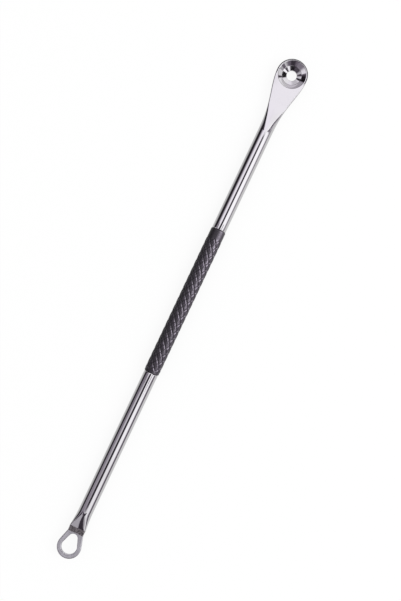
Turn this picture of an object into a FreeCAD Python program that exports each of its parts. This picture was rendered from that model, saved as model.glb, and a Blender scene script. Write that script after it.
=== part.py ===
"""Double-ended blackhead extractor with a dished spoon at one end and a thin flat loop at the other.

The two steel shanks are pressed onto the tenons of a short core. A black diamond-patterned sleeve
covers the core and is trapped between the shanks. The flat loop has a tang that is held in the
pressed socket at the end of its shank.

The tool lies along X, spoon toward +X, dish facing +Z. The origin is under the middle of the tool, on
the surface that it lies on. All lengths are in millimetres and all angles in degrees.
"""

import FreeCAD
import Part

import math
import os

from FreeCAD import Vector

# Whole tool
overall_length = 120.0
shank_diameter = 3.2
shoulder_radius = 0.25

# Grip sleeve
grip_length = 34.3
grip_offset = 1.85
grip_diameter = 3.45
sleeve_end_diameter = 3.35
sleeve_end_radius = 0.1
collar_length = 2.1
run_out_length = 0.5
diamond_pitch = 1.79
diamond_depth = 0.13
diamond_land_share = 0.5
diamonds_around = 8
sleeve_clearance = 0.02

# Core inside the grip
core_diameter = 2.3
tenon_diameter = 1.7
tenon_length = 6.0
tenon_chamfer = 0.2
tenon_clearance = 0.01
tenon_end_gap = 0.2
drill_point_angle = 118.0

# Spoon end
cup_diameter = 7.0
paddle_thickness = 1.15
paddle_edge_radius = 0.25
flare_length = 14.0
flare_skew = 1.35
flare_stations = 12
flatten_share = 0.5
dish_diameter = 6.2
dish_floor_diameter = 4.3
dish_wall_depth = 0.75
dish_depth = 1.1
cup_wall = 0.5
cup_rim_ease = 0.1
cup_hole_diameter = 2.25
cup_hole_edge_radius = 0.12

# Pressed socket at the loop end
ramp_length = 4.0
mouth_bevel_length = 1.3
socket_width = 3.6
socket_thickness = 2.1
socket_edge_radius = 0.2
mouth_lip = 0.08

# Extraction loop
loop_width = 5.4
loop_thickness = 0.85
loop_edge_radius = 0.2
loop_reach = 3.35
loop_hole_width = 3.4
loop_hole_neck_width = 2.0
loop_hole_spread = 2.0
tang_width = 2.2
tang_length = 3.6
tang_clearance = 0.02
tang_end_gap = 0.2

# Small allowances
cut_overrun = 0.5
match_tolerance = 0.001

X_AXIS = Vector(1, 0, 0)
Z_AXIS = Vector(0, 0, 1)
ROUND_ANGLES = (0.0, 22.5, 45.0, 67.5, 90.0)

# Places that follow from the sizes
shank_radius = shank_diameter / 2
axis_height = max(grip_diameter, shank_diameter) / 2
grip_start = grip_offset - grip_length / 2
grip_end = grip_offset + grip_length / 2
cup_x = overall_length / 2 - cup_diameter / 2
flare_start = cup_x - flare_length
paddle_top = paddle_thickness / 2
ring_x = loop_width / 2 - overall_length / 2
mouth_x = ring_x + loop_reach
ramp_end = mouth_x + mouth_bevel_length
ramp_start = ramp_end + ramp_length


def rod(start_x, end_x, diameter):
    """Round bar along the tool's axis."""
    return Part.makeCylinder(diameter / 2, end_x - start_x, Vector(start_x, 0, 0), X_AXIS)


def box_between(start_x, end_x, width, height):
    """Rectangular bar along the tool's axis."""
    corner = Vector(start_x, -width / 2, -height / 2)
    return Part.makeBox(end_x - start_x, width, height, corner)


def turned(profile, centre_x):
    """Solid turned about the upright line at centre_x from (radius, height) points."""
    points = [Vector(centre_x + radius, 0, height) for radius, height in profile]
    face = Part.Face(Part.makePolygon(points + points[:1]))
    return face.revolve(Vector(centre_x, 0, 0), Z_AXIS, 360)


def edge_through(first, middle, last):
    """Arc through three points, or a line where they are in a row."""
    if (middle - (first + last) * 0.5).Length < match_tolerance:
        return Part.LineSegment(first, last).toShape()
    return Part.Arc(first, middle, last).toShape()


def bar_section(x, half_width, half_height, corner, squareness):
    """Closed wire across the tool, from the shank's circle (0) to a round-cornered bar (1)."""
    diagonal = corner * math.cos(math.radians(45))
    bar = (
        (half_width, 0),
        (half_width, half_height - corner),
        (half_width - corner + diagonal, half_height - corner + diagonal),
        (half_width - corner, half_height),
        (0, half_height),
    )
    quarter = []
    for angle, (bar_y, bar_z) in zip(ROUND_ANGLES, bar):
        round_y = half_width * math.cos(math.radians(angle))
        round_z = shank_radius * math.sin(math.radians(angle))
        quarter.append((round_y + squareness * (bar_y - round_y), round_z + squareness * (bar_z - round_z)))
    upper = quarter + [(-y, z) for y, z in quarter[-2::-1]]
    lower = [(y, -z) for y, z in upper[-2:0:-1]]
    points = [Vector(x, y, z) for y, z in upper + lower]
    return Part.Wire([edge_through(*(points + points)[i:i + 3]) for i in range(1, len(points), 2)])


def edges_at(shape, radius, x=None, z=None):
    """Circular edges of one radius, at one place along the axis or at one height."""
    found = []
    for edge in shape.Edges:
        if not isinstance(edge.Curve, Part.Circle) or abs(edge.Curve.Radius - radius) > match_tolerance:
            continue
        centre = edge.Curve.Center
        if x is not None and abs(centre.x - x) > match_tolerance:
            continue
        if z is not None and abs(centre.z - z) > match_tolerance:
            continue
        found.append(edge)
    return found


def drilled_socket(mouth, inward):
    """Blind hole for a tenon, with the cone that a twist drill leaves."""
    radius = tenon_diameter / 2 + tenon_clearance
    depth = tenon_length + tenon_end_gap
    point = radius / math.tan(math.radians(drill_point_angle / 2))
    direction = X_AXIS * inward
    hole = Part.makeCylinder(radius, depth, Vector(mouth, 0, 0), direction)
    return hole.fuse(Part.makeCone(radius, 0, point, Vector(mouth + inward * depth, 0, 0), direction))


def shank(start_x, end_x, shoulder_x):
    """Round shank whose edge is eased where it meets the sleeve."""
    bar = rod(start_x, end_x, shank_diameter)
    return bar.makeFillet(shoulder_radius, edges_at(bar, shank_radius, x=shoulder_x))


def paddle_section(share):
    """Section of the paddle at a share of the way from the shank to the middle of the cup."""
    spread = (1 - math.cos(math.pi * share ** flare_skew)) / 2
    pressed = min(1, share / flatten_share)
    squareness = pressed * pressed * (3 - 2 * pressed)
    half_width = shank_radius + (cup_diameter / 2 - shank_radius) * spread
    x = flare_start + share * flare_length
    return bar_section(x, half_width, paddle_top, paddle_edge_radius, squareness)


def flared_paddle():
    """Shank pressed from round to flat, then spread at an even thickness to the middle of the cup."""
    half = flare_stations // 2
    pressed = [flatten_share * station / half for station in range(half + 1)]
    spread = [flatten_share + (1 - flatten_share) * station / half for station in range(half + 1)]
    pressed, spread = ([paddle_section(share) for share in run] for run in (pressed, spread))
    return Part.makeLoft(pressed, True, False).fuse(Part.makeLoft(spread, True, False))


def paddle_tip():
    """Half disc that ends the paddle around the cup."""
    section = Part.Face(bar_section(cup_x, cup_diameter / 2, paddle_top, paddle_edge_radius, 1))
    half = section.common(Part.makeBox(cup_diameter, cup_diameter, cup_diameter,
                                       Vector(cup_x - cup_diameter / 2, 0, -cup_diameter / 2)))
    return half.Faces[0].revolve(Vector(cup_x, 0, 0), Z_AXIS, -180)


def cup_profile(offset):
    """(radius, height) corners of the dish, moved outward through the wall by an offset."""
    rim = (dish_diameter / 2, paddle_top)
    bend = (dish_floor_diameter / 2, paddle_top - dish_wall_depth)
    lip = (cup_hole_diameter / 2, paddle_top - dish_depth)
    wall_slope = math.atan2(rim[1] - bend[1], rim[0] - bend[0])
    floor_slope = math.atan2(bend[1] - lip[1], bend[0] - lip[0])
    wall_lift = offset / math.cos(wall_slope)
    floor_lift = offset / math.cos(floor_slope)
    gap = (wall_lift - floor_lift) / (math.tan(wall_slope) - math.tan(floor_slope))
    bend = (bend[0] + gap, bend[1] - floor_lift + gap * math.tan(floor_slope))
    rim = (rim[0], rim[1] - wall_lift)
    return rim, bend, (lip[0], lip[1] - floor_lift)


def dish_cutter():
    """Hollow of the cup, with an eased rim, carried on above the paddle's top."""
    rim, bend, lip = cup_profile(0)
    fall = cup_rim_ease * (rim[1] - bend[1]) / (rim[0] - bend[0])
    foot = (rim[0] - cup_rim_ease, rim[1] - fall)
    above = (rim[0] + cup_rim_ease * (1 + 2 * cut_overrun / fall), rim[1] + cut_overrun)
    return turned([(0, above[1]), above, foot, bend, lip, (0, lip[1])], cup_x)


def spoon_end():
    """Shank, flared paddle and pierced cup, drilled for the core's tenon."""
    rim, bend, lip = cup_profile(cup_wall)
    dome = turned([(0, 0), (rim[0], 0), rim, bend, lip, (0, lip[1])], cup_x)
    hole = Part.makeCylinder(cup_hole_diameter / 2, cup_diameter, Vector(cup_x, 0, -cup_diameter / 2), Z_AXIS)
    body = shank(grip_end, flare_start, grip_end).fuse([flared_paddle(), paddle_tip(), dome])
    body = body.removeSplitter().cut([dish_cutter(), hole, drilled_socket(grip_end, 1)])
    return body.makeFillet(cup_hole_edge_radius, edges_at(body, cup_hole_diameter / 2, z=lip[1]))


def loop_end():
    """Shank pressed flat into a socket whose bevelled mouth closes on the loop's tang."""
    lip_height = loop_thickness / 2 + mouth_lip
    round_start = bar_section(ramp_start, shank_radius, shank_radius, socket_edge_radius, 0)
    flat_end = bar_section(ramp_end, socket_width / 2, socket_thickness / 2, socket_edge_radius, 1)
    mouth = bar_section(mouth_x, socket_width / 2, lip_height, socket_edge_radius, 1)
    pressed = Part.makeLoft([round_start, flat_end, mouth], True, True)
    pocket = box_between(mouth_x - cut_overrun, mouth_x + tang_length + tang_end_gap,
                         tang_width + 2 * tang_clearance, loop_thickness + 2 * tang_clearance)
    body = shank(ramp_start, grip_start, grip_start).fuse(pressed).removeSplitter()
    return body.cut([pocket, drilled_socket(grip_start, -1)])


def loop_outline():
    """Ring and neck seen from above, drawn about the middle of the ring."""
    radius = loop_width / 2
    neck = (loop_reach, socket_width / 2)
    turn = math.atan2(neck[1], neck[0]) + math.acos(radius / math.hypot(*neck))
    touch = (radius * math.cos(turn), radius * math.sin(turn))
    corner, tangent = Vector(*neck, 0), Vector(*touch, 0)
    far_corner, far_tangent = Vector(neck[0], -neck[1], 0), Vector(touch[0], -touch[1], 0)
    return Part.Wire([
        Part.LineSegment(corner, tangent).toShape(),
        Part.Arc(tangent, Vector(-radius, 0, 0), far_tangent).toShape(),
        Part.LineSegment(far_tangent, far_corner).toShape(),
        Part.LineSegment(far_corner, corner).toShape(),
    ])


def loop_hole_outline():
    """Teardrop hole: two round ends joined by the lines that touch both."""
    wide, narrow = loop_hole_width / 2, loop_hole_neck_width / 2
    slope = math.asin((wide - narrow) / loop_hole_spread)
    wide_touch = Vector(wide * math.sin(slope), wide * math.cos(slope), 0)
    narrow_touch = Vector(loop_hole_spread + narrow * math.sin(slope), narrow * math.cos(slope), 0)
    wide_far = Vector(wide_touch.x, -wide_touch.y, 0)
    narrow_far = Vector(narrow_touch.x, -narrow_touch.y, 0)
    return Part.Wire([
        Part.LineSegment(wide_touch, narrow_touch).toShape(),
        Part.Arc(narrow_touch, Vector(loop_hole_spread + narrow, 0, 0), narrow_far).toShape(),
        Part.LineSegment(narrow_far, wide_far).toShape(),
        Part.Arc(wide_far, Vector(-wide, 0, 0), wide_touch).toShape(),
    ])


def extraction_loop():
    """Flat teardrop ring with eased edges and a tang for the socket."""
    thickness = Z_AXIS * loop_thickness
    plate = Part.Face(loop_outline()).extrude(thickness)
    plate = plate.cut(Part.Face(loop_hole_outline()).extrude(thickness))
    plate.translate(Vector(ring_x, 0, -loop_thickness / 2))
    rims = []
    for edge in plate.Edges:
        level = all(abs(abs(vertex.Z) - loop_thickness / 2) < match_tolerance for vertex in edge.Vertexes)
        at_mouth = abs(edge.BoundBox.XMin - mouth_x) < match_tolerance
        if level and edge.BoundBox.ZLength < match_tolerance and not at_mouth:
            rims.append(edge)
    plate = plate.makeFillet(loop_edge_radius, rims)
    tang = box_between(mouth_x, mouth_x + tang_length, tang_width, loop_thickness)
    return plate.fuse(tang).removeSplitter()


def grip_core():
    """Round core with a chamfered tenon at each end."""
    tenons = rod(grip_start - tenon_length, grip_end + tenon_length, tenon_diameter)
    ends = [edge for x in (grip_start - tenon_length, grip_end + tenon_length)
            for edge in edges_at(tenons, tenon_diameter / 2, x=x)]
    return rod(grip_start, grip_end, core_diameter).fuse(tenons.makeChamfer(tenon_chamfer, ends))


def diamond_band(start_x, end_x):
    """Solid bar whose outside is covered in raised flat-topped diamonds.

    The diamonds lie on a grid of half steps around (i) and along (j) the bar, one about each point
    where i + j is even. Their outer corners are the neighbouring points, at the foot of the grooves.
    Their flat tops are smaller by the land share. The rows at both ends hold halves.
    """
    top_radius = grip_diameter / 2
    foot_radius = top_radius - diamond_depth
    rows = max(2, round((end_x - start_x) / (diamond_pitch / 2)))
    row_step = (end_x - start_x) / rows
    turn_step = math.pi / diamonds_around
    corner_radius = top_radius / math.cos(diamond_land_share * turn_step)
    corners = ((1, 0, corner_radius), (0, 1, top_radius), (-1, 0, corner_radius), (0, -1, top_radius))

    def point(turn, row, radius):
        angle = turn * turn_step
        return Vector(start_x + row * row_step, radius * math.cos(angle), radius * math.sin(angle))

    def face(*outline):
        return Part.Face(Part.makePolygon(list(outline) + [outline[0]]))

    faces = []
    caps = {0: [], rows: []}
    for row in range(rows + 1):
        for turn in range(row % 2, 2 * diamonds_around, 2):
            feet = [point(turn + i, row + j, foot_radius) for i, j, _ in corners]
            tops = [point(turn + i * diamond_land_share, row + j * diamond_land_share, radius)
                    for i, j, radius in corners]
            above, below = row < rows, row > 0
            for side, present in enumerate((above, above, below, below)):
                after = (side + 1) % 4
                if present:
                    faces.append(face(tops[side], feet[side], feet[after]))
                    faces.append(face(tops[side], feet[after], tops[after]))
            if above and below:
                faces.append(face(*tops))
            else:
                faces.append(face(tops[0], tops[1 if above else 3], tops[2]))
                caps[row] += [feet[2], tops[2], tops[0]]
    faces += [face(*outline) for outline in caps.values()]
    shell = Part.Compound(faces)
    shell.sewShape()
    solid = Part.Solid(shell.Shells[0])
    if solid.Volume < 0:
        solid.reverse()
    return solid


def grip_sleeve():
    """Black sleeve with a diamond pattern, a plain collar at the spoon end and a bore for the core."""
    pattern_start = grip_start + run_out_length
    pattern_end = grip_end - collar_length
    run_out = rod(grip_start, pattern_start, sleeve_end_diameter)
    collar = rod(pattern_end, grip_end, sleeve_end_diameter)
    run_out = run_out.makeFillet(sleeve_end_radius, edges_at(run_out, sleeve_end_diameter / 2, x=grip_start))
    collar = collar.makeFillet(sleeve_end_radius, edges_at(collar, sleeve_end_diameter / 2, x=grip_end))
    bore = rod(grip_start - cut_overrun, grip_end + cut_overrun, core_diameter + 2 * sleeve_clearance)
    return diamond_band(pattern_start, pattern_end).fuse([run_out, collar]).cut(bore)


def main():
    os.makedirs("parts", exist_ok=True)
    builders = (spoon_end, loop_end, extraction_loop, grip_core, grip_sleeve)
    for build in builders:
        shape = build()
        shape.translate(Z_AXIS * axis_height)
        shape.exportStep(f"parts/{build.__name__}.step")


if __name__ == "__main__":
    main()
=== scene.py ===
"""Double-ended blackhead extractor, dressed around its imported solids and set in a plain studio.

The pieces are surfaces worked out with arrays: cross-sections carried along the tool, bands between
two outlines, and a sleeve whose radius follows a diamond pattern. Lengths are in metres. The tool
lies along X with its spoon toward +X and the dish facing up.
"""

from math import acos, asin, atan2, cos, hypot, pi, radians, sin, tan

import bmesh
import bpy
import numpy as np
from bpy.props import FloatProperty, FloatVectorProperty, IntProperty, PointerProperty
from bpy.types import Operator, Panel, PropertyGroup
from mathutils import Matrix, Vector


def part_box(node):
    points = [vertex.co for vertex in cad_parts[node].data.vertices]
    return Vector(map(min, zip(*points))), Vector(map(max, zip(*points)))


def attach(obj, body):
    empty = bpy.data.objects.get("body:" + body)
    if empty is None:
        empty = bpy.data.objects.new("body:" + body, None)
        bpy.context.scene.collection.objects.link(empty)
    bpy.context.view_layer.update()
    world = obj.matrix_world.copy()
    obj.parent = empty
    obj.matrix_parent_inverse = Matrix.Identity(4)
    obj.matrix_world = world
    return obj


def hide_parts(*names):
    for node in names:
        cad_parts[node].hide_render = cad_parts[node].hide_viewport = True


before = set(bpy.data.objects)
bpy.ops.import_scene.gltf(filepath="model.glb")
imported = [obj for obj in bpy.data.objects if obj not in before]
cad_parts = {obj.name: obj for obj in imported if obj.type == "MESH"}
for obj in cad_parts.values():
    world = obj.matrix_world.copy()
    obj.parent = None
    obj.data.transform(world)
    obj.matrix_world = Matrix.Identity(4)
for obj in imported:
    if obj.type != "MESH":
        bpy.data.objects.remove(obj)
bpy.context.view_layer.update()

bl_info = {
    "name": "Blackhead Extractor",
    "version": (1, 0, 0),
    "blender": (4, 5, 0),
    "location": "3D View > Sidebar > Extractor",
    "description": "Makes the pieces, finishes and studio of a double-ended blackhead extractor",
    "category": "Object",
}

MILLIMETRE = 0.001
WELD_DISTANCE = 2e-7
CREASE_ANGLE = radians(32)
DEGREES = 180 / pi

# Degrees round a quarter of a cross-section where a bar's corner starts and ends
CORNER_START, CORNER_END = 22.5, 67.5
ANGLE_SLACK = 0.1

# How many times farther the ramp's face falls away on its -Y side
FAR_SIDE_FALL = 3

# Points of a rounded edge and of a circle
ARC_POINTS, CIRCLE_POINTS = 9, 241

# Depths of fine marks, distances between turned rings, and other lengths of the finishes
STEEL_MARKS, LOOP_GRAIN, CORE_RINGS, RUBBER_GRAIN = 0.35e-6, 0.5e-6, 3.0e-6, 1.5e-6
DISH_RING_PITCH, CORE_RING_PITCH = 0.07 * MILLIMETRE, 0.12 * MILLIMETRE
BEVEL_EDGE = 0.05 * MILLIMETRE
# Distances out on the floor's +Y side over which the painted shade that metal sees deepens
PAINTED_SHADE_FADE = (7 * MILLIMETRE, 16 * MILLIMETRE)
MARK_ROUGHNESS = 0.03

# Lamps: size, tilt off straight up, bearing from +X, distance
KEY_LAMP = (0.7, radians(42), radians(-70), 0.9)
GLINT_LAMP = (0.52, radians(58), radians(-62), 0.6)

# Cards and black flags that the dish shows: gain, bearing from and to in degrees, softness
FLOOR_CARDS = ((1.1, -46, 80, 5), (-0.4, 25, 68, 10))
FLOOR_FLAGS = ((-0.95, 74, 91, 3), (-0.95, -94, -49, 3), (-0.8, -178, -132, 5))
WALL_CARDS = ((0.95, 100, 140, 10), (0.75, -127, 10, 12), (0.2, -48, -10, 6),
              (0.3, 10, 76, 8), (0.12, 136, 176, 6))
WALL_FLAGS = ((-0.94, 76, 100, 3), (-0.9, -57, -47, 3), (-0.7, -172, -148, 6))

# Angle, along the tool from straight up, at which the camera sees the dish
DISH_LEAN = 14

# Sockets of a Mix node for the factor, the two colours and the result
MIX_INPUTS, MIX_OUTPUT = (0, 6, 7), 2
WHITE = (1.0, 1.0, 1.0, 1.0)
SENSOR_WIDTH = 36.0
CAMERA_CLIP = (0.01, 20.0)

spoon_low, spoon_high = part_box("spoon_end")
ring_low, ring_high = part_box("extraction_loop")
stem_low, stem_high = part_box("loop_end")
sleeve_low, sleeve_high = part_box("grip_sleeve")


def length(description, millimetres):
    """Setting for a length, with its default in millimetres."""
    return place(description, millimetres * MILLIMETRE)


def place(description, metres):
    """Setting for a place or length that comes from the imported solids."""
    return FloatProperty(description=description, default=metres, unit="LENGTH", precision=5)


def share(description, default, high=1.0):
    """Setting for a plain number from 0."""
    return FloatProperty(description=description, default=default, min=0.0, max=high, subtype="FACTOR")


def turn(description, degrees):
    """Setting for an angle, with its default in degrees."""
    return FloatProperty(description=description, default=radians(degrees), subtype="ANGLE")


def colour(subject, *default):
    """Setting for the linear colour of a subject."""
    return FloatVectorProperty(description=f"Colour of the {subject}", default=default, min=0.0, max=1.0,
                               subtype="COLOR")


class ExtractorShank(PropertyGroup):
    """Sizes that both polished shanks share."""

    axis_height: place("Height of the tool's axis over the floor", (sleeve_low.z + sleeve_high.z) / 2)
    radius: length("Radius of the polished shanks", 1.6)
    shoulder: length("Rounding of a shank's end beside the grip", 0.25)
    socket_radius: length("Radius of the drilled socket for the core", 0.86)
    socket_depth: length("Depth of the socket up to its cone", 6.2)
    drill_point: turn("Full angle of the socket's cone", 118)


class ExtractorSpoon(PropertyGroup):
    """Sizes of the flared spoon and its pierced dish."""

    start_x: place("End of the shank beside the grip", spoon_low.x)
    tip_x: place("Far end of the spoon", spoon_high.x)
    flare_length: length("From the round shank to the middle of the dish", 14.0)
    flare_skew: share("Power that holds the flare back toward the dish", 1.35, 3.0)
    flatten_share: share("Share of the flare over which the shank is pressed flat", 0.5)
    head_radius: length("Radius of the round end", 3.5)
    half_thickness: length("Half of the paddle's thickness", 0.575)
    edge_radius: length("Rounding along the paddle's edge", 0.25)
    dish_radius: length("Radius of the dish at its rim", 3.1)
    floor_radius: length("Radius where the dish's wall meets its floor", 2.15)
    wall_depth: length("Depth of the dish where wall and floor meet", 0.75)
    dish_depth: length("Depth of the dish at the hole", 1.1)
    dome_radius: length("Radius of the raised dome on the underside", 2.526)
    dome_depth: length("Depth of the dome's lip under the axis", 1.0533)
    hole_radius: length("Radius of the hole through the dish", 1.125)
    rim_rounding: length("Rounding of the dish's rim", 0.3)
    floor_rounding: length("Rounding between the dish's wall and floor", 0.3)
    hole_rounding: length("Rounding of the hole's upper edge", 0.07)
    lip_rounding: length("Rounding of the hole's lower edge", 0.12)


class ExtractorStem(PropertyGroup):
    """Sizes of the shank that carries the loop."""

    start_x: place("End of the shank beside the grip", stem_high.x)
    mouth_x: place("Open end of the pressed socket", stem_low.x)
    ramp_length: length("From the round shank to the flat end", 4.0)
    bevel_length: length("Length of the dull bevel behind the loop", 1.3)
    half_width: length("Half of the flat end's width", 1.8)
    half_height: length("Half of the flat end's thickness", 1.05)
    mouth_half_height: length("Half of the thickness at the mouth", 0.505)
    corner: length("Rounding along the flat end's edges", 0.2)
    lean: turn("Lean of the hand-ground ramp to one side", 5.0)
    crown: length("Fall of the ramp's face at its +Y edge", 0.08)
    pocket_half_width: length("Half of the pocket's width", 1.12)
    pocket_half_height: length("Half of the pocket's height", 0.445)
    pocket_depth: length("Depth of the pocket for the loop's tang", 3.8)
    pocket_corner: length("Rounding along the pocket's edges", 0.02)


class ExtractorLoop(PropertyGroup):
    """Sizes of the flat teardrop loop."""

    ring_radius: place("Outer radius of the ring", (ring_high.y - ring_low.y) / 2)
    end_x: place("Far end of the ring", ring_low.x)
    half_thickness: place("Half of the loop's thickness", (ring_high.z - ring_low.z) / 2)
    neck_half_width: length("Half of the neck's width at the mouth", 1.8)
    neck_corner: length("Rounding of the neck's square end", 0.01)
    edge_radius: length("Rounding along the loop's edges", 0.2)
    inner_share: share("Most of a slice's width that its inner rounding takes", 0.45)
    hole_radius: length("Radius of the hole's wide end", 1.7)
    hole_neck_radius: length("Radius of the hole's narrow end", 1.0)
    hole_spread: length("Distance between the hole's two round ends", 2.0)
    tang_half_width: length("Half of the tang's width", 1.1)
    tang_share: share("Thickness of the tang as a share of the loop's", 0.98)
    tang_corner: length("Rounding along the tang's edges", 0.04)
    tang_length: length("Length of the tang in the socket", 3.6)
    tang_overlap: length("Overlap of the tang and the neck", 0.1)


class ExtractorGrip(PropertyGroup):
    """Sizes of the black diamond sleeve."""

    start_x: place("End of the sleeve toward the loop", sleeve_low.x)
    end_x: place("End of the sleeve toward the spoon", sleeve_high.x)
    top_radius: length("Radius over the diamonds", 1.725)
    collar_radius: length("Radius of the plain ends", 1.675)
    bore_radius: length("Radius of the hole for the core", 1.17)
    end_rounding: length("Rounding of the sleeve's ends", 0.1)
    collar_length: length("Length of the plain collar toward the spoon", 2.1)
    run_out_length: length("Length of the plain end toward the loop", 0.5)
    pitch: length("Length of one diamond along the sleeve", 1.79)
    depth: length("Height of the diamonds over the grooves", 0.13)
    around: IntProperty(description="Diamonds around the sleeve", default=8, min=3)
    cross_share: share("Depth of the second grooves as a share of the first", 0.6)
    groove_share: share("Share of a diamond taken by the slope of its groove", 0.42)
    fade_share: share("Share of a diamond over which the pattern's ends fade", 0.16)


class ExtractorFinish(PropertyGroup):
    """Colours and roughness of the finishes."""

    steel: colour("polished stainless steel", 0.64, 0.63, 0.64)
    steel_shade: colour("polished steel's duller patches", 0.58, 0.57, 0.58)
    loop_steel: colour("satin loop", 0.66, 0.65, 0.68)
    scale: colour("dull bevel behind the loop", 0.50, 0.47, 0.47)
    core_steel: colour("turned core", 0.56, 0.55, 0.54)
    rubber: colour("black sleeve", 0.010, 0.008, 0.011)
    rubber_worn: colour("rubbed tops of the diamonds", 0.030, 0.026, 0.033)
    steel_roughness: share("Roughness of the polished steel", 0.045)
    loop_roughness: share("Roughness of the satin loop", 0.1)
    core_roughness: share("Roughness of the turned core", 0.22)
    rubber_roughness: share("Roughness of the black sleeve", 0.25)


class ExtractorStage(PropertyGroup):
    """Camera, floor and light."""

    camera_height: length("Height of the camera over the tool's axis", 200.0)
    view_height: length("Length that the tall side of the picture shows", 131.26)
    centre_x: length("Point under the camera along the tool", 3.48)
    centre_y: length("Point under the camera across the tool", -2.98)
    tool_turn: turn("Lean of the tool from upright in the picture", 25.302)
    floor_radius: length("Radius of the pale floor", 2500.0)
    floor: colour("pale floor", 0.92, 0.92, 0.92)
    shade_share: share("Share of its real depth at which the floor's shade is seen", 0.12)
    mirror_share: share("Level of the floor's white that metal shows", 0.82)
    sky_level: share("Level of the soft light from all round", 0.78, 2.0)
    key_level: share("Level that the key lamp adds on the floor", 0.25, 2.0)
    glint_level: share("Brightness of the lamp that glints on the grip", 11.8, 50.0)
    white_panel: colour("right panel that metal shows", 0.98, 0.97, 1.0)
    lilac_panel: colour("left panel that metal shows", 0.96, 0.93, 1.0)
    dark_room: colour("dark parts that metal shows", 0.92, 0.76, 1.0)
    glint: colour("lamp that glints on the grip", 0.93, 0.84, 1.0)


def smooth(value):
    """Eased share, 3v^2 - 2v^3 of the value held between 0 and 1."""
    value = np.clip(value, 0.0, 1.0)
    return value * value * (3.0 - 2.0 * value)


def spots(*axes):
    """Points from their coordinates along each axis, spread to one shape."""
    return np.stack(np.broadcast_arrays(*axes), axis=-1)


def ring_turns():
    """Angles of a cross-section's points, close together where a bar has its corners.

    A quarter has 6 steps to the corner, 10 round it and 12 from there. The other quarters mirror it.
    """
    quarter = np.hstack((np.linspace(0, CORNER_START, 6, endpoint=False),
                         np.linspace(CORNER_START, CORNER_END, 10, endpoint=False),
                         np.linspace(CORNER_END, 90, 13)))
    half = np.hstack((quarter, 180 - quarter[-2:0:-1]))
    return np.radians(np.hstack((half, half + 180)))


def bar_shares(turns):
    """How far each angle is along a bar's side, round its corner and over its flat.

    The angle is folded into one quarter. Its first fourth runs up the side, the middle half goes
    round the corner and the last fourth runs over the flat to the middle.
    """
    fold = np.abs((np.degrees(turns) + 90) % 180 - 90)
    side = np.clip(fold / CORNER_START, 0, 1)
    bend = np.clip((fold - CORNER_START) / (CORNER_END - CORNER_START), 0, 1) * (pi / 2)
    flat = np.clip((fold - CORNER_END) / (90 - CORNER_END), 0, 1)
    return side, bend, flat


def cross_sections(rows):
    """Cross-sections along the tool, one for each row of sizes.

    A row is x, the round's half width and half height, the bar's half width, half height, corner,
    flatness, lean and crown. A point is round + flatness (bar - round), with the round at
    (width cos, height sin). The bar's flats fall away by crown (y / width)^2, more on the -Y side,
    and the whole is turned about the tool's axis by the lean.
    """
    columns = np.asarray(rows, float).T[:, :, None]
    x, round_w, round_h, bar_w, bar_h, corner, flatness, lean, crown = columns
    turns = ring_turns()
    side, bend, flat = bar_shares(turns)
    bar_y = (bar_w - corner) * (1 - flat) + corner * np.cos(bend)
    fall = crown * side * (bar_y / np.maximum(bar_w, WELD_DISTANCE)) ** 2
    fall = fall * np.where(np.cos(turns) < 0, FAR_SIDE_FALL, 1)
    bar_z = (bar_h - corner) * side + corner * np.sin(bend) - fall
    round_y, round_z = round_w * np.cos(turns), round_h * np.sin(turns)
    y = round_y + flatness * (np.sign(np.cos(turns)) * bar_y - round_y)
    z = round_z + flatness * (np.sign(np.sin(turns)) * bar_z - round_z)
    leant_y = y * np.cos(lean) + z * np.sin(lean)
    leant_z = z * np.cos(lean) - y * np.sin(lean)
    return spots(x, leant_y, leant_z)


def size_rows(**columns):
    """Rows of sizes for cross_sections from columns of equal or single length."""
    names = ("x", "round_w", "round_h", "bar_w", "bar_h", "corner", "flatness", "lean", "crown")
    columns = [np.atleast_1d(np.asarray(columns.get(name, 0.0), float)) for name in names]
    return spots(*columns)


def round_rows(x, radius):
    """Rows of sizes for round cross-sections."""
    return size_rows(x=x, round_w=radius, round_h=radius)


def rounded_profile(corners, radii):
    """Polyline with an arc in each inner corner.

    An arc of radius r in a corner of half angle h starts and ends r / tan(h) from the corner, and its
    centre is r / sin(h) along the corner's bisector.
    """
    corners, radii = np.asarray(corners, float), np.asarray(radii, float)[:, None]

    def unit(vectors):
        return vectors / np.linalg.norm(vectors, axis=1, keepdims=True)

    back, ahead = unit(corners[:-2] - corners[1:-1]), unit(corners[2:] - corners[1:-1])
    half = np.arccos(np.sum(back * ahead, axis=1, keepdims=True)) / 2
    centres = corners[1:-1] + unit(back + ahead) * radii / np.sin(half)
    start = corners[1:-1] + back * radii / np.tan(half) - centres
    end = corners[1:-1] + ahead * radii / np.tan(half) - centres
    first = np.arctan2(start[:, 1], start[:, 0])
    sweep = (np.arctan2(end[:, 1], end[:, 0]) - first + pi) % (2 * pi) - pi
    angles = first[:, None] + sweep[:, None] * np.linspace(0, 1, 11)
    arcs = centres[:, None] + radii[:, None] * spots(np.cos(angles), np.sin(angles))
    return np.vstack((corners[:1], arcs.reshape(-1, 2), corners[-1:]))


def socket_and_shoulder(shank, face_x, way):
    """Places and radii of a drilled socket and the shoulder round its mouth, from inside out.

    The cone's depth is radius / tan(half the drill's point). The shoulder is a quarter of a circle.
    """
    cone = shank.socket_radius / tan(shank.drill_point / 2)
    arc = np.linspace(0, pi / 2, ARC_POINTS)
    inside = (shank.socket_depth + cone, shank.socket_depth, 0.0)
    x = np.hstack((inside, shank.shoulder * (1 - np.cos(arc))))
    bore = (0.0, shank.socket_radius, shank.socket_radius)
    radius = np.hstack((bore, shank.radius - shank.shoulder * (1 - np.sin(arc))))
    return face_x + way * x, radius


def flare_half_width(along, spoon, shank):
    """Half width of the flare: shank radius + (head radius - shank radius) (1 - cos(pi s^skew)) / 2."""
    spread = (1 - np.cos(pi * along ** spoon.flare_skew)) / 2
    return shank.radius + (spoon.head_radius - shank.radius) * spread


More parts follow.
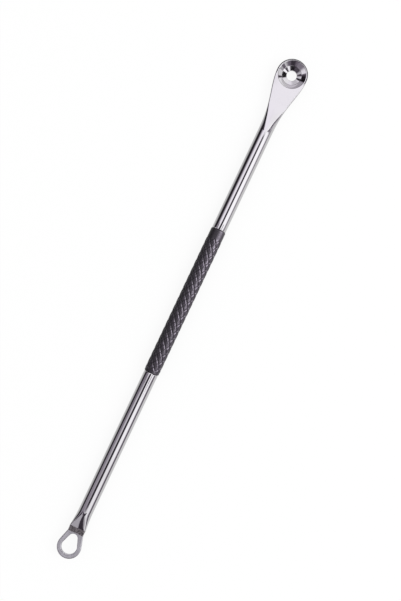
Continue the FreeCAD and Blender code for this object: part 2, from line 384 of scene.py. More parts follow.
def dish_profile(spoon):
    """(radius, height) down the dish's wall and floor, through the hole and out along the dome."""
    top = spoon.half_thickness
    corners = (
        (spoon.dish_radius + spoon.rim_rounding, top),
        (spoon.dish_radius, top),
        (spoon.floor_radius, top - spoon.wall_depth),
        (spoon.hole_radius, top - spoon.dish_depth),
        (spoon.hole_radius, -spoon.dome_depth),
        (spoon.dome_radius, -top),
        (spoon.dome_radius + spoon.rim_rounding, -top),
    )
    radii = (spoon.rim_rounding, spoon.floor_rounding, spoon.hole_rounding, spoon.lip_rounding,
             spoon.rim_rounding)
    return rounded_profile(corners, radii)


def spoon_sheets(spoon, shank):
    """Grids of the spoon end: the shank pressed flat, the head's edge, and the band through the dish.

    The band's columns go round the dish. Each runs from the head's outline over the top flat to the
    dish's rim, follows the dish's profile through the hole, and comes back along the underside.
    """
    cup_x = spoon.tip_x - spoon.head_radius
    flare_x = cup_x - spoon.flare_length
    along = np.linspace(0, spoon.flatten_share, 45)
    socket_x, socket_radius = socket_and_shoulder(shank, spoon.start_x, 1)
    straight_x = np.linspace(socket_x[-1], flare_x, 14)[1:-1]
    width = flare_half_width(along, spoon, shank)
    tube = cross_sections(np.vstack((
        round_rows(socket_x, socket_radius),
        round_rows(straight_x, shank.radius),
        size_rows(x=flare_x + along * spoon.flare_length, round_w=width, round_h=shank.radius, bar_w=width,
                  bar_h=spoon.half_thickness, corner=spoon.edge_radius,
                  flatness=smooth(along / spoon.flatten_share)),
    )))

    # The head's outline, inside its rounded edge: tip, +Y side, straight cut, -Y side
    inset = spoon.edge_radius
    tip = np.linspace(-pi / 2, pi / 2, 73)
    tip_x = cup_x + (spoon.head_radius - inset) * np.cos(tip)
    tip_y = (spoon.head_radius - inset) * np.sin(tip)
    side = np.linspace(1, spoon.flatten_share, 37)[1:]
    side_x = flare_x + side * spoon.flare_length
    side_y = flare_half_width(side, spoon, shank) - inset
    cut_turns = ring_turns()
    cut_turns = cut_turns[np.abs(np.degrees(cut_turns) - 90) < 90 - CORNER_END - ANGLE_SLACK]
    cut_y = np.sign(np.cos(cut_turns)) * side_y[-1] * (1 - bar_shares(cut_turns)[2])
    outline_x = np.hstack((tip_x, side_x, 0 * cut_y + side_x[-1], side_x[::-1]))
    outline_y = np.hstack((tip_y, side_y, cut_y, -side_y[::-1]))
    bearing = np.arctan2(outline_y, outline_x - cup_x)

    # Rows of the band: share of the way from the outline to the profile's end, then the profile
    profile = dish_profile(spoon)
    flat_shares = np.array((0, 0.03, 0.12, 0.35, 0.65, 0.9))
    share_in = np.hstack((flat_shares, np.ones(len(profile)), flat_shares[::-1]))[:, None]
    first, last = [np.tile(point, (len(flat_shares), 1)) for point in profile[[0, -1]]]
    radius, height = np.vstack((first, profile, last)).T[:, :, None]
    band_x = outline_x + share_in * (cup_x + radius * np.cos(bearing) - outline_x)
    band_y = outline_y + share_in * (radius * np.sin(bearing) - outline_y)
    band = spots(band_x, band_y, height)

    # The rounded edge, from the cut on the -Y side round the tip to the cut on the +Y side
    edge_turns = ring_turns()
    edge_turns = (edge_turns + pi) % (2 * pi) - pi
    edge_turns = np.sort(edge_turns[np.abs(np.degrees(edge_turns)) < CORNER_END + ANGLE_SLACK])
    up, bend, _ = bar_shares(edge_turns)
    out = inset * np.cos(bend)
    edge_z = np.sign(edge_turns) * ((spoon.half_thickness - inset) * up + inset * np.sin(bend))
    edge_x = np.hstack((side_x[::-1], tip_x, side_x))[:, None]
    edge_y = np.hstack((-side_y[::-1], tip_y, side_y))[:, None]
    facing = np.hstack((0 * side - pi / 2, tip, 0 * side + pi / 2))[:, None]
    edge = spots(edge_x + out * np.cos(facing), edge_y + out * np.sin(facing), edge_z)
    return [grid(tube, close_columns=True), grid(band, close_columns=True), grid(edge)]


def stem_sheets(stem, shank):
    """Grid of the loop's shank: socket, round shank, leaning ramp, bevel, mouth and pocket.

    The ramp's flatness is s^2 (2 - s), which starts level and ends at the bevel's crisp edge.
    """
    socket_x, socket_radius = socket_and_shoulder(shank, stem.start_x, -1)
    bevel_x = stem.mouth_x + stem.bevel_length
    ramp_x = bevel_x + stem.ramp_length
    straight_x = np.linspace(socket_x[-1], ramp_x, 17)[1:-1]

    # Shares of the ramp and the bevel, with close rows that keep their edges crisp
    ramp = np.append(np.linspace(0, 1, 33)[:-1], (0.985, 1))
    flatness = ramp ** 2 * (2 - ramp)
    bevel = np.array((0.04, 0.5, 0.96, 1.0))
    pocket_x = np.array((stem.mouth_x, stem.mouth_x + stem.pocket_depth))
    rows = np.vstack((
        round_rows(socket_x, socket_radius),
        round_rows(straight_x, shank.radius),
        size_rows(x=ramp_x - ramp * stem.ramp_length, round_w=shank.radius, round_h=shank.radius,
                  bar_w=stem.half_width, bar_h=stem.half_height, corner=stem.corner, flatness=flatness,
                  lean=stem.lean * flatness, crown=stem.crown),
        size_rows(x=bevel_x - bevel * stem.bevel_length, bar_w=stem.half_width, flatness=1,
                  bar_h=stem.half_height + bevel * (stem.mouth_half_height - stem.half_height),
                  corner=stem.corner, lean=stem.lean * (1 - bevel), crown=stem.crown * (1 - bevel)),
        size_rows(x=pocket_x, bar_w=stem.pocket_half_width, bar_h=stem.pocket_half_height,
                  corner=stem.pocket_corner, flatness=1),
        size_rows(x=pocket_x[-1], flatness=1),
    ))
    return [grid(cross_sections(rows), close_columns=True)]


def outline_radius(points, centre, bearings):
    """Distance along each bearing from a centre to a closed outline, taken at even steps round it."""
    points = np.vstack((points, points[:1]))
    run = np.hstack(([0], np.cumsum(np.linalg.norm(np.diff(points, axis=0), axis=1))))
    steps = np.linspace(0, run[-1], 4000, endpoint=False)
    away = spots(*(np.interp(steps, run, axis) for axis in points.T)) - centre
    return np.interp(bearings, np.arctan2(away[:, 1], away[:, 0]), np.linalg.norm(away, axis=1),
                     period=2 * pi)


def arc_points(centre_x, radius, first, last, steps):
    """Points of an arc about a point on the tool's axis."""
    angles = np.linspace(first, last, steps)
    return spots(centre_x + radius * np.cos(angles), radius * np.sin(angles))


def loop_sheets(loop, stem):
    """Grids of the flat loop and its tang.

    The ring's outline is a circle and the two lines from the neck that touch it. The hole is two
    circles and the lines that touch both. Each column is a rounded slice between hole and outline
    along one bearing. The neck's end stays square, because it stands against the mouth.
    """
    ring_x = loop.end_x + loop.ring_radius
    reach = stem.mouth_x - ring_x
    touch = (atan2(loop.neck_half_width, reach)
             + acos(loop.ring_radius / hypot(reach, loop.neck_half_width)))
    neck = np.array(((reach, -loop.neck_half_width), (reach, loop.neck_half_width)))
    outline = np.vstack((arc_points(0, loop.ring_radius, touch, 2 * pi - touch, CIRCLE_POINTS), neck))
    slope = asin((loop.hole_radius - loop.hole_neck_radius) / loop.hole_spread)
    quarter = pi / 2 - slope
    hole = np.vstack((
        arc_points(0, loop.hole_radius, quarter, 2 * pi - quarter, CIRCLE_POINTS),
        arc_points(loop.hole_spread, loop.hole_neck_radius, -quarter, quarter, 121),
    ))

    # Bearings about a point between the hole's round ends, with a pair beside each corner of the neck
    centre = np.array((loop.hole_spread * 0.3, 0.0))
    corner = atan2(loop.neck_half_width, reach - centre[0])
    beside = np.array((-1.0, 1.0)) * 1e-3
    bearings = np.sort(np.hstack((np.linspace(-pi, pi, 180, endpoint=False),
                                  corner + beside, beside - corner)))
    inner, outer = outline_radius(hole, centre, bearings), outline_radius(outline, centre, bearings)
    round_out = np.where(np.abs(bearings) < corner, loop.neck_corner, loop.edge_radius)
    round_in = np.minimum(loop.edge_radius, loop.inner_share * (outer - inner))

    def slice_rows(top, outside, under, inside):
        return np.hstack((top, outside, under, inside))[:, None]

    # One slice: top flat, outer edge, underside, inner edge
    flat = np.array((0, 0.08, 0.5, 0.92, 1))
    quarter_turn = np.linspace(0, pi / 2, ARC_POINTS)[1:-1]
    swing = np.hstack((np.cos(quarter_turn[::-1]), (1, 1), np.cos(quarter_turn)))
    drop = np.hstack((1 - np.sin(quarter_turn[::-1]), (1, 1), 1 - np.sin(quarter_turn)))
    sign = np.repeat((1, -1), len(swing) // 2)
    level, none = 0 * flat, 0 * swing
    across = slice_rows(flat, none + 1, flat[::-1], none)
    swing_out, drop_out = [slice_rows(level, row, level, none) for row in (swing, drop)]
    swing_in, drop_in = [slice_rows(level, none, level, row) for row in (swing, drop)]
    sign = slice_rows(level + 1, sign, level - 1, -sign)
    away = ((inner + round_in) * (1 - across) + (outer - round_out) * across
            + round_out * swing_out - round_in * swing_in)
    height = sign * (loop.half_thickness - round_out * drop_out - round_in * drop_in)
    ring = spots(ring_x + centre[0] + away * np.cos(bearings), away * np.sin(bearings), height)

    tang_x = stem.mouth_x + np.repeat((-loop.tang_overlap, loop.tang_length), 2)
    filled = np.array((0, 1, 1, 0))
    tang = cross_sections(size_rows(x=tang_x, bar_w=loop.tang_half_width * filled,
                                    bar_h=loop.half_thickness * loop.tang_share * filled,
                                    corner=loop.tang_corner * filled, flatness=1))
    return [grid(ring, close_rows=True, close_columns=True), grid(tang, close_columns=True)]


def sleeve_sheets(grip):
    """Grid of the sleeve, and how high each of its points stands on a diamond, from 0 to 1.

    With i half steps around and j along, u = (i + j) / 2 and v = (i - j) / 2 run square to the two
    sets of grooves. A ridge is s(1 - 2 |u - round(u)|), with s an eased step over the groove's share.
    The height is ridge(u) (1 - cross share (1 - ridge(v))), and the radius is foot + depth times height.
    """
    first, last = grip.start_x + grip.run_out_length, grip.end_x - grip.collar_length
    half_steps = round((last - first) / (grip.pitch / 2))
    arc = np.linspace(0, pi / 2, 7)
    easing = grip.end_rounding
    inset = easing * (1 - np.cos(arc))
    shoulder = grip.collar_radius - easing * (1 - np.sin(arc))
    run_out_x = (first - easing + grip.start_x) / 2
    pattern_x = np.linspace(first, last, half_steps * 10 + 1)
    collar_x = np.linspace(last, grip.end_x - easing, 8)[1:-1]
    long_x = np.hstack((run_out_x, pattern_x, collar_x))
    x = np.hstack((grip.start_x + inset, long_x, (grip.end_x - inset)[::-1], grip.end_x, grip.start_x))
    plain = np.hstack((shoulder, 0 * long_x + grip.collar_radius, shoulder[::-1],
                       grip.bore_radius, grip.bore_radius))
    x, plain = x[:, None], plain[:, None]

    def ridge(steps):
        return smooth((1 - 2 * np.abs(steps - np.round(steps))) / grip.groove_share)

    turns = np.linspace(0, 2 * pi, grip.around * 24, endpoint=False)
    around, along = turns * grip.around / pi, (x - first) / (last - first) * half_steps
    height = ridge((around + along) / 2) * (1 - grip.cross_share * (1 - ridge((around - along) / 2)))
    fade = grip.fade_share * grip.pitch
    inside = smooth((x - first) / fade) * smooth((last - x) / fade)
    patterned = grip.top_radius - grip.depth * (1 - height)
    radius = plain + inside * (plain > grip.bore_radius) * (patterned - plain)
    points = spots(x, radius * np.cos(turns), radius * np.sin(turns))
    return [grid(points, close_rows=True, close_columns=True)], (height * inside).ravel()


def grid(points, close_rows=False, close_columns=False):
    """Points and quads of a grid, joined to its own start where it closes."""
    rows, columns = points.shape[:2]
    index = np.arange(rows * columns).reshape(rows, columns)
    if close_rows:
        index = np.vstack((index, index[:1]))
    if close_columns:
        index = np.hstack((index, index[:, :1]))
    quads = spots(index[:-1, :-1], index[:-1, 1:], index[1:, 1:], index[1:, :-1])
    return points.reshape(-1, 3), quads.reshape(-1, 4)


def stand(name, data):
    """New object of the scene."""
    thing = bpy.data.objects.new(name, data)
    bpy.context.scene.collection.objects.link(thing)
    return thing


def make_piece(name, sheets, axis_height, node, finish, crest=None):
    """Welds grids into one closed mesh, stands it for its solid and gives it its finish."""
    starts = np.cumsum([0] + [len(points) for points, _ in sheets[:-1]])
    points = np.vstack([points for points, _ in sheets]) + (0, 0, axis_height)
    quads = np.vstack([quads + start for (_, quads), start in zip(sheets, starts)])
    mesh = bpy.data.meshes.new(name)
    mesh.from_pydata(points.tolist(), [], quads.tolist())
    if crest is not None:
        mesh.attributes.new("crest", "FLOAT", "POINT").data.foreach_set("value", crest.astype(np.float32))
    shell = bmesh.new()
    shell.from_mesh(mesh)
    bmesh.ops.remove_doubles(shell, verts=shell.verts, dist=WELD_DISTANCE)
    bmesh.ops.recalc_face_normals(shell, faces=shell.faces)
    open_edges = sum(not edge.is_manifold for edge in shell.edges)
    shell.to_mesh(mesh)
    shell.free()
    if open_edges:
        raise RuntimeError(f"{name} has {open_edges} open edges")
    mesh.shade_smooth()
    mesh.set_sharp_from_angle(angle=CREASE_ANGLE)
    mesh.materials.append(finish)
    piece = stand(name, mesh)
    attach(piece, "root")
    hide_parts(node)


class Signal:
    """A socket of a material's or the world's nodes, on which arithmetic adds Math nodes."""

    def __init__(self, tree, socket=None):
        self.tree = tree
        self.socket = socket

    def add(self, kind, sockets=None, output=0, **choices):
        """Adds a node, makes its choices, then sets or links its sockets."""
        node = self.tree.nodes.new(kind)
        for name, value in choices.items():
            setattr(node, name, value)
        for name, value in (sockets or {}).items():
            if isinstance(value, Signal):
                self.tree.links.new(value.socket, node.inputs[name])
            else:
                node.inputs[name].default_value = value
        return Signal(self.tree, node.outputs[output] if len(node.outputs) else None)

    def math(self, operation, *others):
        """This value, with any others, through one Math node."""
        return self.add("ShaderNodeMath", dict(enumerate((self, *others))), operation=operation)

    def __add__(self, other):
        return self.math("ADD", other)

    def __sub__(self, other):
        return self.math("SUBTRACT", other)

    def __rsub__(self, other):
        return self.add("ShaderNodeMath", {0: other, 1: self}, operation="SUBTRACT")

    def __mul__(self, other):
        return self.math("MULTIPLY", other)

    def __neg__(self):
        return self * -1.0

    __radd__, __rmul__ = __add__, __mul__

    def step(self, low, high):
        """Eased step of this value, 0 at low and 1 at high."""
        return self.add("ShaderNodeMapRange", {"Value": self, "From Min": low, "From Max": high},
                        interpolation_type="SMOOTHSTEP")

    def window(self, low, high, soft):
        """1 between low and high, with eased edges of twice the softness."""
        return self.step(low - soft, low + soft) * (1 - self.step(high - soft, high + soft))

    def blend(self, first, second):
        """Value from first to second by this share."""
        return first + self * (second - first)

    def dimmed(self, loss, where):
        """This value, less a share of it where another value is 1."""
        return self * (1.0 - loss * where)

    def mix(self, first, second):
        """Colour from first to second by this share."""
        colours = [tone if isinstance(tone, Signal) else (*tone, 1.0) for tone in (first, second)]
        return self.add("ShaderNodeMix", dict(zip(MIX_INPUTS, (self, *colours))), MIX_OUTPUT,
                        data_type="RGBA")

    def noise(self, scale, detail, roughness):
        """Noise from 0 to 1 at this place, with its scale in cycles along X, Y and Z for each metre."""
        stretched = self.add("ShaderNodeMapping", {"Vector": self, "Scale": scale})
        return self.add("ShaderNodeTexNoise", {"Vector": stretched, "Scale": 1.0, "Detail": detail,
                                               "Roughness": roughness})

    def parts(self):
        """The X, Y and Z of this vector."""
        split = self.add("ShaderNodeSeparateXYZ", {0: self}).socket.node
        return [Signal(self.tree, socket) for socket in split.outputs]


def new_finish(name):
    """Empty material, a signal to write its nodes with, and the place on the piece in metres."""
    material = bpy.data.materials.new(name)
    material.use_nodes = True
    material.node_tree.nodes.clear()
    nodes = Signal(material.node_tree)
    return material, nodes, nodes.add("ShaderNodeTexCoord", output="Object")


def surface(material, nodes, base, roughness, relief, depth, metallic=1.0):
    """Material with a Principled shader, its normal bent by a relief of a depth in metres."""
    normal = nodes.add("ShaderNodeBump", {"Strength": 1.0, "Distance": depth, "Height": relief})
    shader = nodes.add("ShaderNodeBsdfPrincipled", {"Base Color": base, "Metallic": metallic,
                                                    "Roughness": roughness, "Normal": normal})
    nodes.add("ShaderNodeOutputMaterial", {"Surface": shader})
    return material


def toned(tone, level):
    """A colour times a level."""
    return [level * part for part in tone]


def span(x, y):
    """Distance sqrt(x^2 + y^2)."""
    return (x * x + y * y).math("SQRT")


def rings(distance, pitch, shift=0.0):
    """Wave from 0 to 1 along a distance d: (1 + sin(2 pi d / pitch + shift)) / 2."""
    return (distance * (2 * pi / pitch) + shift).math("SINE") * 0.5 + 0.5


def polished_steel(name, finish, bevel=None, dish=None):
    """Polished stainless steel with fine marks along the tool and faint duller patches.

    A bevel (from, to along X) is left dull and dark with a coarse grain. A dish (middle along X,
    radius) has faint turned rings.
    """
    material, nodes, place = new_finish(name)
    x, y, _ = place.parts()
    lines = place.noise((60, 9000, 9000), 4, 0.65)
    hairlines = place.noise((900, 26000, 26000), 2, 0.5).step(0.62, 0.78)
    dull = place.noise((140, 420, 420), 3, 0.5).step(0.50, 0.78)
    base = (dull * 0.8).mix(finish.steel, finish.steel_shade)
    roughness = finish.steel_roughness + MARK_ROUGHNESS * (lines + dull + hairlines)
    relief = 0.6 * lines + 0.4 * hairlines
    if dish:
        middle, radius = dish
        away = span(x - middle, y)
        inside = 1 - away.step(radius * 0.97, radius * 1.02)
        turned = rings(away, DISH_RING_PITCH)
        roughness = roughness + MARK_ROUGHNESS * turned * inside
        relief = inside.blend(relief, 0.5 * turned + 0.3 * lines)
    if bevel:
        ground = x.window(*bevel, BEVEL_EDGE)
        grain = place.noise((4200, 2600, 2600), 4, 0.7)
        scale = grain.step(0.36, 0.66).mix(toned(finish.scale, 0.3), finish.scale)
        base = ground.mix(base, scale)
        roughness = roughness + ground * (0.38 + 0.14 * grain)
        relief = ground.blend(relief, 8.0 * grain)
    return surface(material, nodes, base, roughness, relief, STEEL_MARKS)


def satin_loop_steel(finish):
    """Satin steel with a fine grain along the tool, brighter and smoother where it is rubbed."""
    material, nodes, place = new_finish("satin_loop_steel")
    grain = place.noise((1800, 14000, 9000), 4, 0.65)
    rubbed = place.noise((500, 700, 500), 3, 0.5).step(0.4, 0.75)
    base = (0.5 * grain + 0.5 * rubbed).mix(toned(finish.loop_steel, 0.86), toned(finish.loop_steel, 1.1))
    roughness = finish.loop_roughness + 0.08 * grain - 0.03 * rubbed
    return surface(material, nodes, base, roughness, grain, LOOP_GRAIN)


def turned_core_steel(finish):
    """Plain steel with the fine rings that turning leaves."""
    material, nodes, place = new_finish("turned_core_steel")
    wander = place.noise((2500, 300, 300), 3, 0.6)
    turned = rings(place.parts()[0], CORE_RING_PITCH, 9.0 * wander)
    base = (0.6 * turned + 0.4 * wander).mix(toned(finish.core_steel, 0.8), finish.core_steel)
    roughness = finish.core_roughness + 0.12 * turned + 0.1 * wander
    return surface(material, nodes, base, roughness, turned, CORE_RINGS)


def black_rubber(finish):
    """Satin black rubber with a fine grain, rougher grooves and rubbed, smoother diamond tops."""
    material, nodes, place = new_finish("black_rubber")
    crest = nodes.add("ShaderNodeAttribute", output="Fac", attribute_name="crest")
    grain = place.noise((14000, 14000, 14000), 3, 0.6)
    mottle = place.noise((900, 1600, 1600), 4, 0.6)
    rubbed = crest.step(0.55, 1) * mottle.step(0.32, 0.7)
    base = (0.75 * rubbed + 0.15 * grain).mix(finish.rubber, finish.rubber_worn)
    roughness = finish.rubber_roughness + 0.08 * grain - 0.05 * rubbed + 0.12 * (1.0 - crest)
    return surface(material, nodes, base, roughness, grain, RUBBER_GRAIN, metallic=0.0)


def ray(nodes, kind):
    """1 for a ray of this kind, 0 for any other."""
    return nodes.add("ShaderNodeLightPath", output=f"Is {kind} Ray")


def seen_ray(nodes):
    """1 for what the camera sees, straight or through something clear."""
    return ray(nodes, "Camera").math("MAXIMUM", ray(nodes, "Transmission"))


def pale_floor(stage):
    """Matt floor that shows white where the light is even, and keeps the tool's shadow.

    Metal shows it a little dimmer, on the picture's left of the tool's axis dimmer again, and farther
    out on that side hardly at all. The dimming on that side, away from the key lamp, is painted shade.
    """
    material, nodes, place = new_finish("pale_floor")
    y = place.parts()[1]
    # Painted shade: the floor's glow that metal sees is dimmed on the +Y side, and faded far out there
    mirrored = stage.mirror_share * (1 - 0.12 * y.step(0, MILLIMETRE))
    mirrored = mirrored.dimmed(0.85, y.step(*PAINTED_SHADE_FADE))
    seen = seen_ray(nodes).math("MAXIMUM", ray(nodes, "Glossy") * mirrored)
    tone = seen.step(0, 0.1).mix(stage.floor, (stage.shade_share,) * 3)
    matt = nodes.add("ShaderNodeBsdfDiffuse", {"Color": tone})
    lift = nodes.add("ShaderNodeEmission", {"Strength": seen * (1.0 - stage.shade_share)})
    both = nodes.add("ShaderNodeAddShader", {0: matt, 1: lift})
    nodes.add("ShaderNodeOutputMaterial", {"Surface": both})
    return material


def side_panels(across, along):
    """Level of the panels on both sides, and the share of the right one.

    The left one fades toward the floor beside the spoon, and is a dimmer grey beside the loop. The
    right one is white, with a dim strip near the floor.
    """
    left, spoonward, loopward = -across, along.step(-4, 3), (-along).step(7, 15)
    fade = 1.30 - 1.28 * left.step(22, 64)
    grey = (0.85 - 0.38 * loopward).dimmed(0.65 - 0.45 * loopward, left.step(28, 48))
    grey = grey.dimmed(0.97, left.step(63, 73))
    white = 1.4 + 0.1 * spoonward - 0.2 * loopward
    white = white.dimmed(0.87 - 0.11 * spoonward, (across - 7 * spoonward).step(52, 69))
    right_share = across.step(-6, 6)
    return right_share.blend(spoonward.blend(grey, fade), white), right_share


def overhead_gap(across, along):
    """1 in the dark gap between the panels, which runs askew from over the ramp to over the flare."""
    offset = (across - 2.4 - 0.43 * along).math("ABSOLUTE")
    inside = 1 - (offset - (13 - 0.1 * along)).step(-4.5, 4.5)
    return inside * along.step(-15.6, -14.4) * (1 - along.step(11, 11.5))


def over_spoon(level, across, along):
    """Level with a bright sheet over the spoon, a pale wall beyond it, and its dark corner and foot."""
    level = (along.step(11, 11.5) * across.window(-26, 26, 6)).blend(level, 1.31)
    wall = 1 + 0.3 * across.step(-30, 0) - 0.5 * (-across).step(60, 80)
    level = along.step(36, 42).blend(level, wall)
    corner = along.window(33, 48, 2) * across.window(44, 68, 3)
    return level.dimmed(0.95, corner.math("MAXIMUM", along.step(70, 76)))


def over_loop(level, across, along):
    """Level with a dim sheet over the loop, slit and brighter on the right, and a dark room behind."""
    back = -along
    sheet = 0.74 - 0.18 * back.step(18.5, 21.5)
    sheet = across.step(10, 15).blend(sheet, 1.15 - 0.75 * back.step(19, 31))
    sheet = sheet.dimmed(0.97, across.window(-9, 14, 1.5) * back.step(19, 21))
    sheet = 0.04 + sheet * across.window(-32, 54, 4)
    room = 0.24 - 0.21 * back.step(46, 50) + 0.15 * (-across).step(44, 54)
    sheet = back.step(39, 42).blend(sheet, room)
    return back.step(14.6, 16).blend(level, sheet)


def cards(bearing, level, rows):
    """Level plus the gain of each row between its two bearings, with its softness."""
    return sum((gain * bearing.window(*edges) for gain, *edges in rows), level)


def round_dish(level, direction, across, along):
    """Level with the cards that the dish shows, and dark strips for its rim and the paddle's edges.

    Reach is the angle from the way the camera sees the dish, and bearing runs round it from +X. The
    dish's floor shows a ring of directions of middle reach, and its wall shows those of far reach. The
    cards keep clear of what the shanks show.
    """
    x, y, z = direction
    tilt = z.math("ARCCOSINE") * DEGREES
    stretch = tilt.math("DIVIDE", span(x, y).math("MAXIMUM", 0.001))
    toward_x, toward_y = stretch * x - DISH_LEAN, stretch * y
    reach = span(toward_x, toward_y)
    bearing = toward_y.math("ARCTAN2", toward_x) * DEGREES
    clear = 1 - along.window(-15.5, 13.2, 0.6)
    middle = reach.window(34.5, 42, 1.5)

    wall = cards(bearing, 0.2, WALL_CARDS) * cards(bearing, 1, WALL_FLAGS)
    wall = reach.step(79, 84).blend(wall, 0.6)
    level = (clear * reach.step(64, 67)).blend(level, wall)
    floor = cards(bearing, 0.1, FLOOR_CARDS) * cards(bearing, 1, FLOOR_FLAGS)
    level = ((clear + along.window(-6.6, 3.4, 0.5)) * middle).blend(level, floor)

    rim = reach.window(43.5, 65, 1.5) * bearing.window(-85, 85, 5)
    edge = across.math("ABSOLUTE").step(24, 34) * along.window(12.9, 16.5, 0.5)
    edge = edge.math("MAXIMUM", across.window(54, 66, 4) * along.step(11, 12))
    edge = edge * (1 - reach.step(66, 70)) * (1 - middle)
    return level.dimmed(0.95, (clear * rim).math("MAXIMUM", 0.85 * edge))


def studio_world(stage):
    """Even light for the matt surfaces, and panels, sheets and cards with dark gaps for what shines.

    Angles are in degrees from straight up: across grows toward -Y, along grows toward +X. A level of 1
    is white.
    """
    world = bpy.data.worlds.new("studio")
    bpy.context.scene.world = world
    world.use_nodes = True
    world.cycles.sampling_method = "NONE"
    world.node_tree.nodes.clear()
    nodes = Signal(world.node_tree)
    direction = nodes.add("ShaderNodeTexCoord", output="Generated").parts()
    x, y, z = direction
    across, along = (-y).math("ARCTAN2", z) * DEGREES, x.math("ARCSINE") * DEGREES
    level, right_share = side_panels(across, along)
    level = level.dimmed(0.97, overhead_gap(across, along))
    level = over_loop(over_spoon(level, across, along), across, along)
    level = round_dish(level, direction, across, along)

    tint = right_share.mix(stage.lilac_panel, stage.white_panel)
    tint = level.step(0, 0.7).mix(stage.dark_room, tint)
    shown = nodes.add("ShaderNodeVectorMath", {0: tint, "Scale": level}, operation="SCALE")
    shine, even, white = [nodes.add("ShaderNodeBackground", {"Color": tone, "Strength": strength})
                          for tone, strength in ((shown, 1.0), (WHITE, stage.sky_level), (WHITE, 1.0))]
    lit = nodes.add("ShaderNodeMixShader", {0: ray(nodes, "Glossy"), 1: even, 2: shine})
    both = nodes.add("ShaderNodeMixShader", {0: seen_ray(nodes), 1: lit, 2: white})
    nodes.add("ShaderNodeOutputWorld", {"Surface": both})


def hang_lamp(name, watts, size, tilt, bearing, distance):
    """Round lamp that faces the origin, from a tilt off straight up and a bearing from +X."""
    lamp = bpy.data.lights.new(name, "AREA")
    lamp.shape, lamp.size, lamp.energy = "DISK", size, watts
    thing = stand(name, lamp)
    spot = Matrix.Rotation(bearing, 4, "Z") @ Matrix.Rotation(tilt, 4, "Y")
    thing.matrix_world = spot @ Matrix.Translation((0, 0, distance))
    return thing


def key_lamp(stage):
    """Large soft lamp on the picture's right, for shape on the matt surfaces.

    Its watts give the wanted level on the floor: level pi^2 distance^2 / cos(tilt) in a straight beam.
    """
    _, tilt, _, distance = KEY_LAMP
    watts = stage.key_level * pi ** 2 * distance ** 2 / cos(tilt)
    hang_lamp("key", watts, *KEY_LAMP).visible_glossy = False


def glint_lamp(stage, grip):
    """Lower lamp on the picture's right that lights the grip alone, for the glints on its diamonds.

    A disk that shows brightness L needs pi^2 L (size / 2)^2 watts.
    """
    watts = pi ** 2 * stage.glint_level * (GLINT_LAMP[0] / 2) ** 2
    lamp = hang_lamp("glint", watts, *GLINT_LAMP)
    lamp.data.color = stage.glint
    lit = bpy.data.collections.new("lit_by_glint")
    lit.objects.link(grip)
    lamp.light_linking.receiver_collection = lit


def set_camera(stage, axis_height):
    """Camera straight above. The picture's up is the tool's axis turned by the tool's lean."""
    up = (cos(stage.tool_turn), sin(stage.tool_turn))
    columns = ((up[1], up[0], 0, stage.centre_x), (-up[0], up[1], 0, stage.centre_y),
               (0, 0, 1, axis_height + stage.camera_height), (0, 0, 0, 1))
    camera = bpy.data.cameras.new("camera")
    camera.sensor_width = SENSOR_WIDTH
    camera.lens = SENSOR_WIDTH * stage.camera_height / stage.view_height
    camera.clip_start, camera.clip_end = CAMERA_CLIP
    bpy.context.scene.camera = stand("camera", camera)
    bpy.context.scene.camera.matrix_world = Matrix(columns)


def settings(context, *names):
    """The scene's groups of settings with these names."""
    return [getattr(context.scene, f"extractor_{name}") for name in names]


class EXTRACTOR_OT_spoon_end(Operator):
    """Makes the shank that flares into the pierced spoon"""

    bl_idname = "extractor.spoon_end"
    bl_label = "Spoon end"

    def execute(self, context):
        spoon, shank, finish = settings(context, "spoon", "shank", "finish")
        steel = polished_steel("polished_spoon_steel", finish,
                               dish=(spoon.tip_x - spoon.head_radius, spoon.dish_radius))
        make_piece("polished_spoon", spoon_sheets(spoon, shank), shank.axis_height, "spoon_end",
                   steel)
        return {"FINISHED"}


class EXTRACTOR_OT_loop_shank(Operator):
    """Makes the shank with the ramp and socket that hold the loop"""

    bl_idname = "extractor.loop_shank"
    bl_label = "Loop shank"

    def execute(self, context):
        stem, shank, finish = settings(context, "stem", "shank", "finish")
        steel = polished_steel("polished_shank_steel", finish,
                               bevel=(stem.mouth_x, stem.mouth_x + stem.bevel_length))
        make_piece("polished_loop_shank", stem_sheets(stem, shank), shank.axis_height, "loop_end",
                   steel)
        return {"FINISHED"}


class EXTRACTOR_OT_flat_loop(Operator):
    """Makes the flat teardrop loop and its tang"""

    bl_idname = "extractor.flat_loop"
    bl_label = "Flat loop"

    def execute(self, context):
        loop, stem, shank, finish = settings(context, "loop", "stem", "shank", "finish")
        make_piece("flat_loop", loop_sheets(loop, stem), shank.axis_height, "extraction_loop",
                   satin_loop_steel(finish))
        return {"FINISHED"}


class EXTRACTOR_OT_diamond_grip(Operator):
    """Makes the black diamond sleeve and finishes the steel core inside it"""

    bl_idname = "extractor.diamond_grip"
    bl_label = "Diamond grip"

    def execute(self, context):
        grip, shank, finish = settings(context, "grip", "shank", "finish")
        sheets, crest = sleeve_sheets(grip)
        make_piece("diamond_grip", sheets, shank.axis_height, "grip_sleeve",
                   black_rubber(finish), crest)
        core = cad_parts["grip_core"].data.materials
        core.clear()
        core.append(turned_core_steel(finish))
        return {"FINISHED"}


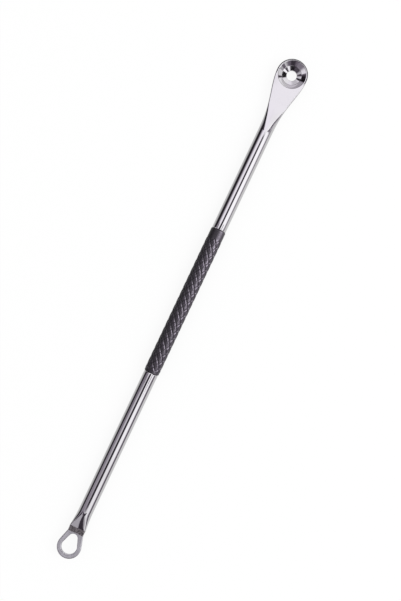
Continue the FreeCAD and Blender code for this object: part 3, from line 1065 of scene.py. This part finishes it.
class EXTRACTOR_OT_stage(Operator):
    """Sets the camera, the pale floor and the soft studio light"""

    bl_idname = "extractor.stage"
    bl_label = "Stage"

    def execute(self, context):
        stage, shank = settings(context, "stage", "shank")
        context.scene.view_settings.view_transform = "Standard"
        angles = np.linspace(0, 2 * pi, 96, endpoint=False)
        rim = spots(np.cos(angles), np.sin(angles), 0) * stage.floor_radius
        mesh = bpy.data.meshes.new("floor")
        mesh.from_pydata(rim.tolist(), [], [list(range(len(rim)))])
        mesh.materials.append(pale_floor(stage))
        floor = stand("floor", mesh)
        studio_world(stage)
        key_lamp(stage)
        glint_lamp(stage, bpy.data.objects["diamond_grip"])
        set_camera(stage, shank.axis_height)
        return {"FINISHED"}


class VIEW3D_PT_extractor(Panel):
    """Lists the steps that make the extractor"""

    bl_label = "Blackhead Extractor"
    bl_space_type = "VIEW_3D"
    bl_region_type = "UI"
    bl_category = "Extractor"

    def draw(self, context):
        for step in OPERATORS:
            self.layout.operator(step.bl_idname)


GROUPS = {"shank": ExtractorShank, "spoon": ExtractorSpoon, "stem": ExtractorStem, "loop": ExtractorLoop,
          "grip": ExtractorGrip, "finish": ExtractorFinish, "stage": ExtractorStage}
OPERATORS = (EXTRACTOR_OT_spoon_end, EXTRACTOR_OT_loop_shank, EXTRACTOR_OT_flat_loop,
             EXTRACTOR_OT_diamond_grip, EXTRACTOR_OT_stage)


def register():
    """Names each setting after its attribute, then registers the classes."""
    for group in GROUPS.values():
        for name, setting in group.__annotations__.items():
            setting.keywords["name"] = name.replace("_", " ").capitalize()
    for group in (*GROUPS.values(), *OPERATORS, VIEW3D_PT_extractor):
        bpy.utils.register_class(group)
    for name, group in GROUPS.items():
        setattr(bpy.types.Scene, f"extractor_{name}", PointerProperty(type=group))


def unregister():
    for name in GROUPS:
        delattr(bpy.types.Scene, f"extractor_{name}")
    for group in (VIEW3D_PT_extractor, *OPERATORS, *GROUPS.values()):
        bpy.utils.unregister_class(group)


def main():
    """Registers the add-on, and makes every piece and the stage."""
    register()
    bpy.ops.extractor.spoon_end()
    bpy.ops.extractor.loop_shank()
    bpy.ops.extractor.flat_loop()
    bpy.ops.extractor.diamond_grip()
    bpy.ops.extractor.stage()


if __name__ == "__main__":
    main()
